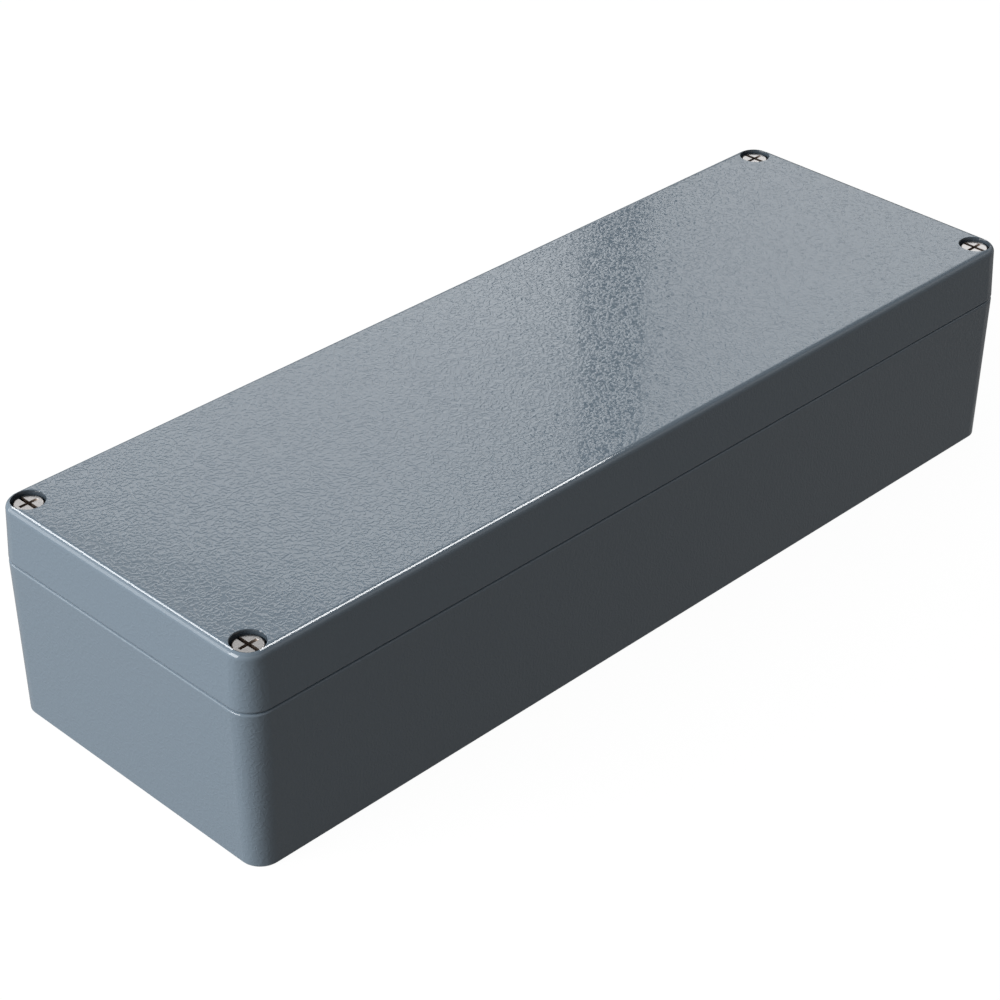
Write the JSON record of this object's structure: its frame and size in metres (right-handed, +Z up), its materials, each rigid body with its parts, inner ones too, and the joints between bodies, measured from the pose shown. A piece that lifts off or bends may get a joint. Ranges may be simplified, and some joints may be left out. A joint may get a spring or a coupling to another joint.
{
  "type": "die cast aluminium enclosure",
  "caption": "Long shallow cast aluminium box with a deep lift-off lid, tongue and groove seal, captive corner screws and hidden wall mounting holes.",
  "frame": {"origin": "centre of the underside, where the bounding box's bottom face is", "axes": "+X along the length, +Y across the width, +Z up through the lid"},
  "size_m": [0.3602, 0.1204, 0.079],
  "materials": {
    "powder_coated_casting": "fine wrinkle powder coat",
    "seal_rubber": "matt",
    "stainless_steel": "satin",
    "zinc_plated_steel": "bright zinc",
    "washer_nylon": "natural nylon"
  },
  "bodies": {
    "base": {"base": "powder_coated_casting", "earth_screw": "zinc_plated_steel", "earth_washer": "zinc_plated_steel"},
    "lid": {"lid": "powder_coated_casting", "gasket": "seal_rubber"},
    "captive_front_left": {"retaining_washer_front_left": "washer_nylon"},
    "screw_front_left": {"lid_screw_front_left": "stainless_steel"},
    "captive_back_left": {"retaining_washer_back_left": "washer_nylon"},
    "screw_back_left": {"lid_screw_back_left": "stainless_steel"},
    "captive_front_right": {"retaining_washer_front_right": "washer_nylon"},
    "screw_front_right": {"lid_screw_front_right": "stainless_steel"},
    "captive_back_right": {"retaining_washer_back_right": "washer_nylon"},
    "screw_back_right": {"lid_screw_back_right": "stainless_steel"}
  },
  "joints": [
    {"name": "lid_lift", "type": "slide", "parent": "base", "child": "lid", "axis": [0, 0, 1], "range_m": [0, 0.12]},
    {"name": "screw_rise_front_left", "type": "slide", "parent": "lid", "child": "captive_front_left", "axis": [0, 0, 1], "range_m": [0, 0.01]},
    {"name": "screw_turn_front_left", "type": "hinge", "parent": "captive_front_left", "child": "screw_front_left", "pos_m": [-0.172, -0.052, 0.0738], "axis": [0, 0, 1], "range_deg": [0, 3600]},
    {"name": "screw_rise_back_left", "type": "slide", "parent": "lid", "child": "captive_back_left", "axis": [0, 0, 1], "range_m": [0, 0.01]},
    {"name": "screw_turn_back_left", "type": "hinge", "parent": "captive_back_left", "child": "screw_back_left", "pos_m": [-0.172, 0.052, 0.0738], "axis": [0, 0, 1], "range_deg": [0, 3600]},
    {"name": "screw_rise_front_right", "type": "slide", "parent": "lid", "child": "captive_front_right", "axis": [0, 0, 1], "range_m": [0, 0.01]},
    {"name": "screw_turn_front_right", "type": "hinge", "parent": "captive_front_right", "child": "screw_front_right", "pos_m": [0.172, -0.052, 0.0738], "axis": [0, 0, 1], "range_deg": [0, 3600]},
    {"name": "screw_rise_back_right", "type": "slide", "parent": "lid", "child": "captive_back_right", "axis": [0, 0, 1], "range_m": [0, 0.01]},
    {"name": "screw_turn_back_right", "type": "hinge", "parent": "captive_back_right", "child": "screw_back_right", "pos_m": [0.172, 0.052, 0.0738], "axis": [0, 0, 1], "range_deg": [0, 3600]}
  ],
  "couplings": [
    {"joint": "screw_turn_front_left", "follows": "screw_rise_front_left", "rad_per_m": 6283.2},
    {"joint": "screw_turn_back_left", "follows": "screw_rise_back_left", "rad_per_m": 6283.2},
    {"joint": "screw_turn_front_right", "follows": "screw_rise_front_right", "rad_per_m": 6283.2},
    {"joint": "screw_turn_back_right", "follows": "screw_rise_back_right", "rad_per_m": 6283.2}
  ]
}
